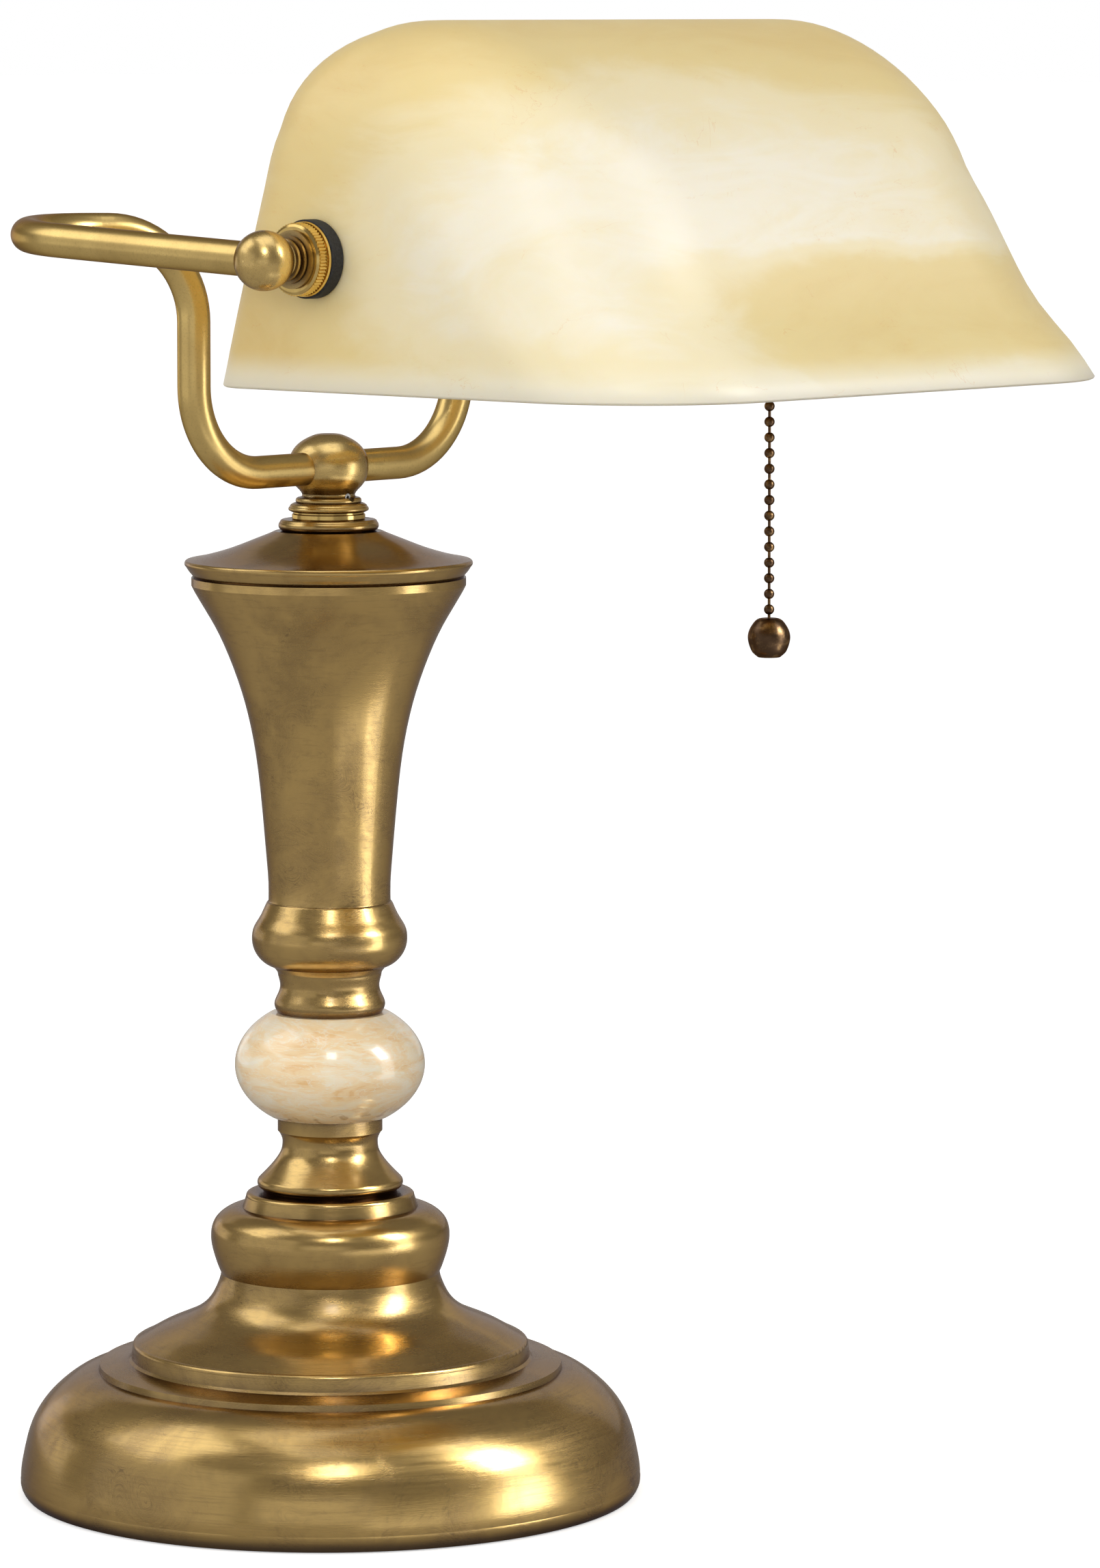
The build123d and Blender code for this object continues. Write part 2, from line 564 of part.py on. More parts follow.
BULB_R = 16.0
BULB_TIP = -68.0
with BuildPart() as bulb_glass:
    with BuildSketch(Plane(origin=(0, PIVOT_Y, PIVOT_Z), x_dir=(1, 0, 0), z_dir=(0, -1, 0))):
        with BuildLine():
            Polyline((46.5, 0), (46.5, LAMP_R - 0.4))
            Spline((46.5, LAMP_R - 0.4), (42.0, 13.2), (34.0, BULB_R), tangents=[(-1, 0), (-1, 0)])
            Line((34.0, BULB_R), (BULB_TIP + BULB_R, BULB_R))
            ThreePointArc((BULB_TIP + BULB_R, BULB_R),
                          (BULB_TIP + BULB_R * (1 - math.sqrt(0.5)), BULB_R * math.sqrt(0.5)), (BULB_TIP, 0))
            Line((BULB_TIP, 0), (46.5, 0))
        make_face()
    revolve(axis=tilt_axis())

CHAIN_AXIS = Axis((CHAIN_X, PIVOT_Y, 0), (0, 0, 1))
BELL_TOP = PIVOT_Z - 14.6
BELL_FOOT = PIVOT_Z - 22.6
with BuildPart() as chain_bell:
    with BuildSketch(Plane(origin=(CHAIN_X, PIVOT_Y, 0), x_dir=(1, 0, 0), z_dir=(0, -1, 0))):
        with BuildLine():
            Polyline((BELL_BORE, BELL_TOP), (BELL_R - 0.05, BELL_TOP), (BELL_R - 0.05, BELL_FOOT + 2.6),
                     (4.4, BELL_FOOT + 0.8), (4.4, BELL_FOOT), (3.4, BELL_FOOT), (BELL_BORE, BELL_FOOT + 2.4),
                     close=True)
        make_face()
    revolve(axis=CHAIN_AXIS)


# ---------------------------------------------------------------- pull chain
LINK_R = 0.45
GAP = BEAD_PITCH - 2 * BEAD_R


def bead_height(index):
    return LAST_BEAD_Z + BEAD_PITCH * index


def beads(low, high, tail):
    """A run of beads with the links between them, as one turned solid. Tail is the link below the run."""
    reach = math.sqrt(BEAD_R**2 - LINK_R**2)
    with BuildSketch(Plane(origin=(CHAIN_X, PIVOT_Y, 0), x_dir=(1, 0, 0), z_dir=(0, -1, 0))) as section:
        with BuildLine():
            at = (0, bead_height(low) - reach - tail)
            Line(at, (LINK_R, at[1]))
            at = (LINK_R, at[1])
            for index in range(low, high + 1):
                z = bead_height(index)
                Line(at, (LINK_R, z - reach))
                ThreePointArc((LINK_R, z - reach), (BEAD_R, z), (LINK_R, z + reach))
                at = (LINK_R, z + reach)
            Line(at, (0, at[1]))
            Line((0, at[1]), (0, bead_height(low) - reach - tail))
        make_face()
    return section.sketch


HINGE_BEAD = 17           # the chain swings above and below this bead
with BuildPart() as chain_top:
    revolve(beads(HINGE_BEAD + 1, BEADS - 1, GAP - 0.4), axis=CHAIN_AXIS)
with BuildPart() as chain_link:
    revolve(beads(HINGE_BEAD, HINGE_BEAD, GAP - 0.4), axis=CHAIN_AXIS)
with BuildPart() as chain_lower:
    revolve(beads(0, HINGE_BEAD - 1, 3.4), axis=CHAIN_AXIS)

KNOB_MID = 264.1
with BuildPart() as pull_knob:
    with BuildSketch(Plane(origin=(CHAIN_X, PIVOT_Y, 0), x_dir=(1, 0, 0), z_dir=(0, -1, 0))):
        with BuildLine():
            Polyline((0, KNOB_MID + 3), (LINK_R, KNOB_MID + 3), (LINK_R, KNOB_MID + 6.0),
                     (2.3, KNOB_MID + 6.1))
            Spline((2.3, KNOB_MID + 6.1), (5.0, KNOB_MID + 4.3), (6.5, KNOB_MID + 0.4), (5.4, KNOB_MID - 3.9),
                   (3.4, KNOB_MID - 5.9), tangents=[(1, -0.1), (-0.9, -0.7)])
            Polyline((3.4, KNOB_MID - 5.9), (0, KNOB_MID - 5.9), (0, KNOB_MID + 3))
        make_face()
    revolve(axis=CHAIN_AXIS)

# ---------------------------------------------------------------- lead wire, inlet to socket
WIRE_R = 1.3
WIRE_Z = 5.4
with BuildPart() as lead_wire:
    with BuildLine() as wire_line:
        entry = (0, 88, BUSH_Z)
        FilletPolyline(entry, (0, 72, BUSH_Z), (0, 52, WIRE_Z), (0, 0, WIRE_Z), (0, 0, TUBE_Z),
                       (RISER_X, 0, TUBE_Z), on_loop(RISER_X, 0),
                       arm_corners(1, None, None)[3], (PIVOT_X, PIVOT_Y, PIVOT_Z), (92.0, PIVOT_Y, PIVOT_Z),
                       radius=[12, 12, 2.6, 3.0, BEND_LOW, BEND_HIGH, BEND_LOOP, 3.0])
    with BuildSketch(Plane(origin=entry, z_dir=(0, -1, 0))):
        Circle(WIRE_R)
    sweep(path=wire_line.line)
run = sum(edge.length for edge in wire_line.edges())
print("lead_wire volume over section times length:",
      round(lead_wire.part.volume / (math.pi * WIRE_R**2 * run), 3))

for piece, name in (
    (base_shell, "base_shell"), (base_weight, "base_weight"), (base_felt, "base_felt"),
    (cord_bushing, "cord_bushing"), (bottom_washer, "bottom_washer"), (bottom_nut, "bottom_nut"),
    (threaded_rod, "threaded_rod"), (lower_neck, "lower_neck"), (stone_ball, "stone_ball"),
    (upper_neck, "upper_neck"), (vase, "vase"), (vase_cap, "vase_cap"), (check_ring, "check_ring"),
    (lock_collar, "lock_collar"), (yoke_hub, "yoke_hub"), (hub_set_screw, "hub_set_screw"),
    (glass_shade, "glass_shade"), (socket_cap, "socket_cap"), (socket_shell, "socket_shell"),
    (socket_liner, "socket_liner"), (switch_body, "switch_body"), (screw_shell, "screw_shell"),
    (bulb_base, "bulb_base"), (bulb_glass, "bulb_glass"), (chain_bell, "chain_bell"),
    (chain_top, "chain_top"), (chain_link, "chain_link"), (chain_lower, "chain_lower"),
    (pull_knob, "pull_knob"), (lead_wire, "lead_wire"),
):
    write(piece.part, name)
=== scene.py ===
"""Looks of the banker desk lamp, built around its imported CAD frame: metres, in the frame's own axes."""
import math

import bmesh
import bpy
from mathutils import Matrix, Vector


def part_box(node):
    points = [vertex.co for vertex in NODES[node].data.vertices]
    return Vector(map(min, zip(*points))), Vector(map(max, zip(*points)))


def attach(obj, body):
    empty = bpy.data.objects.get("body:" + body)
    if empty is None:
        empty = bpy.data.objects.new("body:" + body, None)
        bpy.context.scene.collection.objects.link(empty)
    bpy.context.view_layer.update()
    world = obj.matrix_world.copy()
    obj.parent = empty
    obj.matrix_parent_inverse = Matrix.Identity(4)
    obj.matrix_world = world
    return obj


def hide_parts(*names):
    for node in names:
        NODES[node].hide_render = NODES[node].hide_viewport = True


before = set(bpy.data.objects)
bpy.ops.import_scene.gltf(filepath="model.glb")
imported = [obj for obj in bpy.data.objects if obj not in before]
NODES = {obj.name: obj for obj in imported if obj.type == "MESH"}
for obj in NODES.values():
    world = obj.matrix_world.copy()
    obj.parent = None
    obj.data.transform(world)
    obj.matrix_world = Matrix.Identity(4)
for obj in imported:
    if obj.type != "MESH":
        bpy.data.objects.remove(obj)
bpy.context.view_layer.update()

MM = 0.001

# ---------------------------------------------------------------- camera
FRAME_H = 2296            # height of the image, in pixels
FOCAL_PX = 10500.0        # focal length, in pixels of the image
SENSOR = 36.0             # sensor size along the long side, in millimetres
CAMERA_AZIMUTH = math.radians(48.0)   # the camera stands in front and to the left
CAMERA_AWAY = 2.185       # level distance from the camera to the stem
CAMERA_Z = 0.4582
STEM_LEFT = 0.0676        # the stem stands this far left of the middle of the view
SHIFT = 0.14              # share of the long side that the lens is shifted down
PITCH = math.atan((0.5 - SHIFT) * FRAME_H / FOCAL_PX)


def make_camera():
    """A long lens, shifted down, that looks down a little from the front left."""
    data = bpy.data.cameras.new("camera")
    data.sensor_width = SENSOR
    data.lens = FOCAL_PX / FRAME_H * SENSOR
    data.shift_y = -SHIFT
    data.clip_start, data.clip_end = 0.05, 50.0
    camera = bpy.data.objects.new("camera", data)
    right = Vector((math.cos(CAMERA_AZIMUTH), -math.sin(CAMERA_AZIMUTH), 0))
    forward = Vector((math.sin(CAMERA_AZIMUTH), math.cos(CAMERA_AZIMUTH), 0))
    camera.location = STEM_LEFT * right - CAMERA_AWAY * forward + Vector((0, 0, CAMERA_Z))
    look = forward * math.cos(PITCH) - Vector((0, 0, math.sin(PITCH)))
    camera.rotation_euler = look.to_track_quat("-Z", "Y").to_euler()
    bpy.context.scene.collection.objects.link(camera)
    bpy.context.scene.camera = camera


# ---------------------------------------------------------------- material helpers
class Tree:
    """A material's node tree, with short calls to add and join nodes."""

    def __init__(self, name):
        self.material = bpy.data.materials.new(name)
        self.material.use_nodes = True
        self.nodes = self.material.node_tree.nodes
        self.links = self.material.node_tree.links
        self.shader = self.nodes["Principled BSDF"]

    def put(self, socket, value):
        """Sets a socket to a value, or links it where the value is another node's output."""
        if isinstance(value, bpy.types.NodeSocket):
            self.links.new(value, socket)
        else:
            socket.default_value = value

    def set(self, **values):
        for key, value in values.items():
            self.put(self.shader.inputs[key.replace("_", " ")], value)

    def math(self, operation, *values):
        node = self.nodes.new("ShaderNodeMath")
        node.operation = operation
        for socket, value in zip(node.inputs, values):
            self.put(socket, value)
        return node.outputs[0]

    def plus(self, first, second):
        return self.math("ADD", first, second)

    def minus(self, first, second):
        return self.math("SUBTRACT", first, second)

    def times(self, first, second):
        return self.math("MULTIPLY", first, second)

    def swing(self, noise, amount):
        """A noise made to sway to both sides of zero, over this amount in all."""
        return self.times(self.minus(noise, 0.5), amount)

    def position(self, origin=(0, 0, 0)):
        """x, y and z of the surface point in the frame's own axes, from an origin."""
        place = self.nodes.new("ShaderNodeTexCoord").outputs["Object"]
        away = self.nodes.new("ShaderNodeVectorMath")
        away.operation = "SUBTRACT"
        self.put(away.inputs[0], place)
        self.put(away.inputs[1], origin)
        parts = self.nodes.new("ShaderNodeSeparateXYZ")
        self.links.new(away.outputs[0], parts.inputs[0])
        return parts.outputs

    def vector(self, x, y, z):
        node = self.nodes.new("ShaderNodeCombineXYZ")
        for socket, value in zip(node.inputs, (x, y, z)):
            self.put(socket, value)
        return node.outputs[0]

    def noise(self, vector, scale, detail=2.0, rough=0.5, distortion=0.0):
        node = self.nodes.new("ShaderNodeTexNoise")
        self.put(node.inputs["Vector"], vector)
        self.put(node.inputs["Scale"], scale)
        self.put(node.inputs["Detail"], detail)
        self.put(node.inputs["Roughness"], rough)
        self.put(node.inputs["Distortion"], distortion)
        return node.outputs[0]

    def ramp(self, value, stops):
        """A smooth map from a number to a colour or grey through (place, colour) stops."""
        node = self.nodes.new("ShaderNodeValToRGB")
        node.color_ramp.interpolation = "EASE"
        elements = node.color_ramp.elements
        while len(elements) < len(stops):
            elements.new(0.5)
        for element, (place, colour) in zip(elements, stops):
            element.position = place
            element.color = (*colour, 1) if isinstance(colour, tuple) else (colour, colour, colour, 1)
        self.put(node.inputs[0], value)
        return node.outputs[0]

    def span(self, value, low, high, out_low=0.0, out_high=1.0):
        """A smooth step from one number to another while the value goes from low to high."""
        node = self.nodes.new("ShaderNodeMapRange")
        node.interpolation_type = "SMOOTHSTEP"
        for socket, number in zip(node.inputs, (value, low, high, out_low, out_high)):
            self.put(socket, number)
        return node.outputs[0]

    def mix(self, share, first, second, kind="MIX"):
        node = self.nodes.new("ShaderNodeMix")
        node.data_type = "RGBA"
        node.blend_type = kind
        self.put(node.inputs[0], share)
        for socket, value in zip(node.inputs[6:8], (first, second)):
            self.put(socket, (*value, 1) if isinstance(value, tuple) else value)
        return node.outputs[2]

    def bump(self, height, distance, strength=1.0):
        node = self.nodes.new("ShaderNodeBump")
        self.put(node.inputs["Height"], height)
        node.inputs["Distance"].default_value = distance
        node.inputs["Strength"].default_value = strength
        self.links.new(node.outputs[0], self.shader.inputs["Normal"])


def wear(*nodes, material):
    """Gives each CAD node this material."""
    for name in nodes:
        NODES[name].data.materials.clear()
        NODES[name].data.materials.append(material)


# ---------------------------------------------------------------- metals
BRASS = (0.72, 0.49, 0.17)
BRIGHT_BRASS = (0.86, 0.61, 0.22)
PATINA = (0.30, 0.185, 0.080)
UMBER = (0.10, 0.060, 0.042)
EDGE_TINT = (0.26, 0.18, 0.19, 1)
PIVOT_SHINE = {"patina": 0.10, "rough": 0.27, "bright": BRIGHT_BRASS}   # the smoother, yellower balls
TILT_AXIS = (0.0, -0.103, 0.3851)     # a point on the shade's level tilt axis, midway between the pivots
CREASE = 7 * MM           # how far the dark patina and painted shade of a crease spread
SCRATCH = 0.05 * MM       # depth of the brushing


def brushed_brass(name, about="Z", origin=(0, 0, 0), patina=0.42, rough=0.22, bright=BRASS):
    """Antique brass brushed round an axis, with level scratches, strokes in the patina, and creases
    darkened by patina and painted shade.
    """
    t = Tree(name)
    x, y, z = t.position(origin)
    across, up, along = {"Z": (x, y, z), "X": (y, z, x)}[about]
    angle = t.math("ARCTAN2", up, across)
    radius = t.math("SQRT", t.plus(t.times(across, across), t.times(up, up)))
    fine = t.noise(t.vector(t.times(angle, 0.008), along, radius), 2600.0, 3.0, 0.65)
    level = t.noise(t.vector(t.times(angle, 0.004), along, radius), 900.0, 4.0, 0.7)

    # Strokes whose direction wanders over the surface.
    place = t.vector(x, y, z)
    arc = t.times(t.noise(place, 26.0, 1.0), 10.0)
    run = t.times(angle, 0.03)
    turn_a = t.plus(t.times(run, t.math("COSINE", arc)), t.times(along, t.math("SINE", arc)))
    turn_b = t.minus(t.times(along, t.math("COSINE", arc)), t.times(run, t.math("SINE", arc)))
    strokes = t.noise(t.vector(t.times(turn_a, 0.05), turn_b, radius), 2200.0, 3.0, 0.65)

    # Clouds of patina, and dark patina with painted shade that gathers in creases and where parts meet.
    cloud = t.noise(place, 30.0, 4.0, 0.62, 0.6)
    mottle = t.noise(place, 150.0, 3.0, 0.6)
    aged = t.span(cloud, 0.40, 0.66)
    crease = t.nodes.new("ShaderNodeAmbientOcclusion")
    crease.samples = 6
    crease.inputs["Distance"].default_value = CREASE
    crease_patina_and_shade = t.span(crease.outputs["AO"], 0.45, 0.95, 1.0, 0.0)

    colour = t.mix(t.times(aged, patina), bright, PATINA)
    colour = t.mix(t.times(t.span(mottle, 0.50, 0.75), 0.10), colour, UMBER)
    colour = t.mix(t.times(t.span(level, 0.50, 0.70), 0.24), colour, PATINA)
    scored = t.times(t.span(strokes, 0.50, 0.66), t.plus(t.times(aged, patina), 0.06))
    colour = t.mix(scored, colour, UMBER)
    shine = t.times(t.span(strokes, 0.50, 0.34), t.times(aged, 0.35))
    colour = t.mix(shine, colour, bright)
    # Dark patina and painted shade wherever the occlusion finds creases and meeting parts.
    colour = t.mix(t.times(crease_patina_and_shade, 0.85), colour, UMBER)
    gloss = t.plus(t.swing(level, 0.25), rough)
    gloss = t.plus(gloss, t.times(aged, 0.06))
    t.set(Base_Color=colour, Metallic=1.0, Roughness=gloss, Anisotropic=0.45, Specular_Tint=EDGE_TINT,
          Coat_Weight=0.6, Coat_Roughness=0.16)
    tangent = t.nodes.new("ShaderNodeTangent")
    tangent.direction_type = "RADIAL"
    tangent.axis = about
    t.links.new(tangent.outputs[0], t.shader.inputs["Tangent"])
    height = t.plus(fine, t.plus(t.times(level, 0.4), t.times(strokes, aged)))
    t.bump(height, SCRATCH, 0.35)
    return t.material


def tube_brass():
    """The yoke's tubes: smoother and yellower than the turned pieces, with faint drawn marks."""
    t = Tree("tube_brass")
    x, y, z = t.position()
    cloud = t.noise(t.vector(x, y, z), 45.0, 3.0, 0.6, 0.4)
    grain = t.noise(t.vector(x, y, z), 1500.0, 3.0, 0.6)
    colour = t.mix(t.span(cloud, 0.35, 0.70, 0.0, 0.45), (0.92, 0.67, 0.25), (0.60, 0.41, 0.15))
    colour = t.mix(t.times(t.span(grain, 0.5, 0.75), 0.2), colour, PATINA)
    gloss = t.plus(t.swing(cloud, 0.2), 0.30)
    t.set(Base_Color=colour, Metallic=1.0, Roughness=gloss, Specular_Tint=EDGE_TINT,
          Coat_Weight=0.1, Coat_Roughness=0.2)
    t.bump(grain, 0.00004, 0.3)
    return t.material


def polished_brass():
    """The bright small parts: nuts, collar, bell and lamp thread."""
    t = Tree("polished_brass")
    x, y, z = t.position()
    cloud = t.noise(t.vector(x, y, z), 300.0, 3.0, 0.6)
    colour = t.mix(t.span(cloud, 0.35, 0.7, 0.0, 0.4), (0.86, 0.62, 0.22), (0.60, 0.38, 0.12))
    gloss = t.plus(t.times(cloud, 0.12), 0.10)
    t.set(Base_Color=colour, Metallic=1.0, Roughness=gloss, Specular_Tint=(0.7, 0.6, 0.5, 1))
    return t.material


def dark_bronze():
    """Oxidised bronze with the high spots rubbed back to gold."""
    t = Tree("dark_bronze")
    x, y, z = t.position()
    cloud = t.noise(t.vector(x, y, z), 260.0, 3.0, 0.6)
    grain = t.noise(t.vector(x, y, z), 1400.0, 2.0, 0.5)
    rubbed = t.span(cloud, 0.48, 0.72, 0.0, 0.75)
    colour = t.mix(rubbed, (0.13, 0.078, 0.045), (0.46, 0.29, 0.13))
    gloss = t.plus(t.times(grain, 0.2), 0.22)
    t.set(Base_Color=colour, Metallic=1.0, Roughness=gloss, Specular_Tint=(0.5, 0.42, 0.4, 1))
    t.bump(grain, 0.00004, 0.4)
    return t.material


def plain_metal(name, colour, rough, grain_scale):
    """A bare metal with a fine, uneven grain."""
    t = Tree(name)
    x, y, z = t.position()
    grain = t.noise(t.vector(x, y, z), grain_scale, 4.0, 0.6)
    dark = tuple(0.55 * c for c in colour)
    t.set(Base_Color=t.mix(t.span(grain, 0.3, 0.75), colour, dark), Metallic=1.0,
          Roughness=t.plus(t.times(grain, 0.25), rough - 0.1))
    t.bump(grain, 0.00008, 0.3)
    return t.material


# ---------------------------------------------------------------- stone, rubber, felt, plastic
def marble():
    """Polished cream stone: level bands and wisps, ochre flecks low down."""
    t = Tree("marble")
    x, y, z = t.position()
    low, high = (corner.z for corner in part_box("stone_ball"))
    flat = t.vector(x, y, t.times(z, 3.4))
    wisp = t.noise(flat, 42.0, 5.0, 0.62, 1.4)
    vein = t.noise(t.vector(x, y, t.times(z, 5.0)), 60.0, 4.0, 0.6, 2.2)
    fleck = t.noise(t.vector(x, y, t.times(z, 1.6)), 210.0, 4.0, 0.66, 0.5)
    colour = t.ramp(wisp, [(0.30, (0.89, 0.57, 0.25)), (0.47, (0.98, 0.75, 0.45)),
                           (0.58, (0.99, 0.84, 0.60)), (0.72, (0.99, 0.89, 0.71))])
    line = t.times(t.span(t.math("ABSOLUTE", t.minus(vein, 0.5)), 0.0, 0.035, 1.0, 0.0), 0.5)
    colour = t.mix(line, colour, (0.99, 0.94, 0.82))
    lowness = t.span(z, low + 0.22 * (high - low), low, 0.0, 1.0)
    ochre = t.times(t.span(fleck, 0.52, 0.66), t.times(lowness, 0.75))
    colour = t.mix(ochre, colour, (0.45, 0.24, 0.07))
    t.set(Base_Color=colour, Roughness=0.28, Coat_Weight=0.9, Coat_Roughness=0.07,
          Subsurface_Weight=0.15, Subsurface_Radius=(0.9, 0.6, 0.35), Subsurface_Scale=0.006)
    return t.material


def dull(name, colour, rough, grain_scale, depth):
    """A matt surface with a fine grain: rubber, felt, moulded plastic or casting."""
    t = Tree(name)
    x, y, z = t.position()
    grain = t.noise(t.vector(x, y, z), grain_scale, 4.0, 0.7)
    light = tuple(min(1.0, 1.7 * c + 0.01) for c in colour)
    t.set(Base_Color=t.mix(t.span(grain, 0.35, 0.7), colour, light),
          Roughness=t.plus(t.times(grain, 0.15), rough - 0.07))
    t.bump(grain, depth, 0.6)
    return t.material


# ---------------------------------------------------------------- glass shade
SHADE_LOW, SHADE_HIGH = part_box("glass_shade")
SHADE_H = SHADE_HIGH.z - SHADE_LOW.z
SHADE_HALF = SHADE_HIGH.x
PIVOT_Y = TILT_AXIS[1]
LIP_BACK = SHADE_HIGH.y - PIVOT_Y
LIP_FRONT = PIVOT_Y - SHADE_LOW.y
STRAIGHT_H = 60 * MM      # the sides are straight up to here, and the crown is above
CROWN_H = SHADE_H - STRAIGHT_H
CROWN_POWER = 2.4
CROWN_IN_BACK = 36 * MM   # how far the crown pulls in at the back and the front
CROWN_IN_FRONT = 25 * MM
FLAT_HALF = 70 * MM       # half the length of the flat top
BACK_LEAN = 13 * MM       # how far the back leans in over the straight part
BACK_POWER = 1.1
LEAN_ENDS = 1.25          # the back stops leaning at this many straight heights
FRONT_LEAN = 0.52         # slope of the front, which bows in faster above BOW_FROM
BOW_FROM = 45 * MM
BOW = 6.0                 # per metre
FLARE = 9 * MM            # how far the lip flares out at the front, and over what height
FLARE_H = 18 * MM
FLARE_POWER = 2.6
BACK_CORNER = 12          # plan radius at the lip and its growth over the straight part, in millimetres
BACK_CORNER_GROWTH = 8
FRONT_CORNER = 46
FRONT_CORNER_GROWTH = 12
GLASS_T = 4 * MM
LIP_ROUND = 0.9 * MM      # height of the rounded edge
WALL_KEEP = 1.025         # the hollow closes in a little earlier, so the wall stays thick near the crown
PIVOT_HOLE = 5 * MM


def crown(height):
    """How far the crown has closed in at a height: 0 below it, 1 at the top."""
    share = min(max((height - STRAIGHT_H) / CROWN_H, 0.0), 1.0)
    return 1.0 - max(1.0 - share**CROWN_POWER, 0.0) ** (1 / CROWN_POWER)


def back_depth(height):
    """How far the glass reaches behind the tilt axis, at a height above the lip."""
    lean = BACK_LEAN * min(height / STRAIGHT_H, LEAN_ENDS) ** BACK_POWER
    return LIP_BACK - lean - CROWN_IN_BACK * crown(height)


def front_depth(height):
    """How far the glass reaches in front of the tilt axis, at a height above the lip."""
    flare = FLARE * math.exp(-((height / FLARE_H) ** FLARE_POWER))
    lean = FRONT_LEAN * height + BOW * max(height - BOW_FROM, 0.0) ** 2
    return LIP_FRONT - FLARE + flare - lean - CROWN_IN_FRONT * crown(height)


ARC_STEPS = 14            # points round a corner and along each side
SIDE_STEPS = {"end": 16, "front": 56, "back": 56}
LEVELS = 30               # rings from the lip to the crown
LIP_STEPS = 6


def ring(height, inset, z):
    """A level ring of points round the glass: its outline at a height, moved inward, placed at z."""
    half = SHADE_HALF - (SHADE_HALF - FLAT_HALF) * crown(height) - inset
    back = PIVOT_Y + back_depth(height) - inset
    front = PIVOT_Y - front_depth(height) + inset
    share = min(height / STRAIGHT_H, 1.0)
    room = min(half, (back - front) / 2) - 0.5 * MM
    back_r = min((BACK_CORNER + BACK_CORNER_GROWTH * share) * MM - inset, room)
    front_r = min((FRONT_CORNER + FRONT_CORNER_GROWTH * share) * MM - inset, room)
    corners = [(half - back_r, back - back_r, back_r, 0, "back"),
               (-half + back_r, back - back_r, back_r, 90, "end"),
               (-half + front_r, front + front_r, front_r, 180, "front"),
               (half - front_r, front + front_r, front_r, 270, "end")]
    points = []
    for i, (cx, cy, radius, start, side) in enumerate(corners):
        turns = [math.radians(start + 90 * k / ARC_STEPS) for k in range(ARC_STEPS + 1)]
        arc = [(cx + radius * math.cos(turn), cy + radius * math.sin(turn)) for turn in turns]
        points += arc
        nx, ny, n_r, n_start, _ = corners[(i + 1) % 4]
        end = (nx + n_r * math.cos(math.radians(n_start)), ny + n_r * math.sin(math.radians(n_start)))
        steps = SIDE_STEPS[side]
        points += [(arc[-1][0] + (end[0] - arc[-1][0]) * k / steps,
                    arc[-1][1] + (end[1] - arc[-1][1]) * k / steps) for k in range(1, steps)]
    return [(px, py, z) for px, py in points]


def shade_mesh():
    """One closed shell: up the outside, over the crown, and down the inside to a rounded lip."""
    mesh = bmesh.new()
    outer, inner = [], []
    for k in range(LEVELS + 1):
        rise = math.sin(math.pi / 2 * k / LEVELS)
        height = rise * SHADE_H
        outer.append(ring(height, 0.0, SHADE_LOW.z + height))
        deep = rise * (SHADE_H - GLASS_T)
        inner.append(ring(deep * WALL_KEEP, GLASS_T, SHADE_LOW.z + deep))
    lip = []
    for k in range(1, LIP_STEPS):
        turn = math.pi * k / LIP_STEPS
        inset = GLASS_T / 2 * (1 - math.cos(turn))
        lip.append(ring(0.0, inset, SHADE_LOW.z + LIP_ROUND * (1 - math.sin(turn))))
    outer[0] = [(px, py, SHADE_LOW.z + LIP_ROUND) for px, py, _ in outer[0]]
    inner[0] = [(px, py, SHADE_LOW.z + LIP_ROUND) for px, py, _ in inner[0]]
    rows = outer[::-1] + lip + inner
    made = [[mesh.verts.new(p) for p in row] for row in rows]
    count = len(made[0])
    for low, high in zip(made, made[1:]):
        for i in range(count):
            j = (i + 1) % count
            mesh.faces.new((low[i], low[j], high[j], high[i]))
    for row, flip in ((made[0], False), (made[-1], True)):
        close_strip(mesh, row[::-1] if flip else row)
    bmesh.ops.recalc_face_normals(mesh, faces=mesh.faces)
    data = bpy.data.meshes.new("shade_glass")
    mesh.to_mesh(data)
    mesh.free()
    piece = bpy.data.objects.new("shade_glass", data)
    bpy.context.scene.collection.objects.link(piece)
    return piece


def close_strip(mesh, row):
    """Closes the narrow ring at the crown with quads across it, starting halfway along one end."""
    half_end = SIDE_STEPS["end"] // 2
    turned = row[-half_end:] + row[:-half_end]
    low, high = 0, len(row) - 1
    while high - low > 2:
        mesh.faces.new((turned[low], turned[low + 1], turned[high - 1], turned[high]))
        low, high = low + 1, high - 1
    if high - low == 2:
        mesh.faces.new((turned[low], turned[low + 1], turned[high]))


def drill_pivots(piece):
    """Cuts the hole for the pivots through both ends."""
    bpy.ops.mesh.primitive_cylinder_add(vertices=64, radius=PIVOT_HOLE, depth=2.4 * SHADE_HALF,
                                        location=TILT_AXIS, rotation=(0, math.pi / 2, 0))
    cutter = bpy.context.active_object
    cut = piece.modifiers.new("pivots", "BOOLEAN")
    cut.object, cut.operation, cut.solver = cutter, "DIFFERENCE", "EXACT"
    bpy.context.view_layer.update()
    made = bpy.data.meshes.new_from_object(piece.evaluated_get(bpy.context.evaluated_depsgraph_get()))
    piece.modifiers.clear()
    piece.data = made
    bpy.data.objects.remove(cutter)


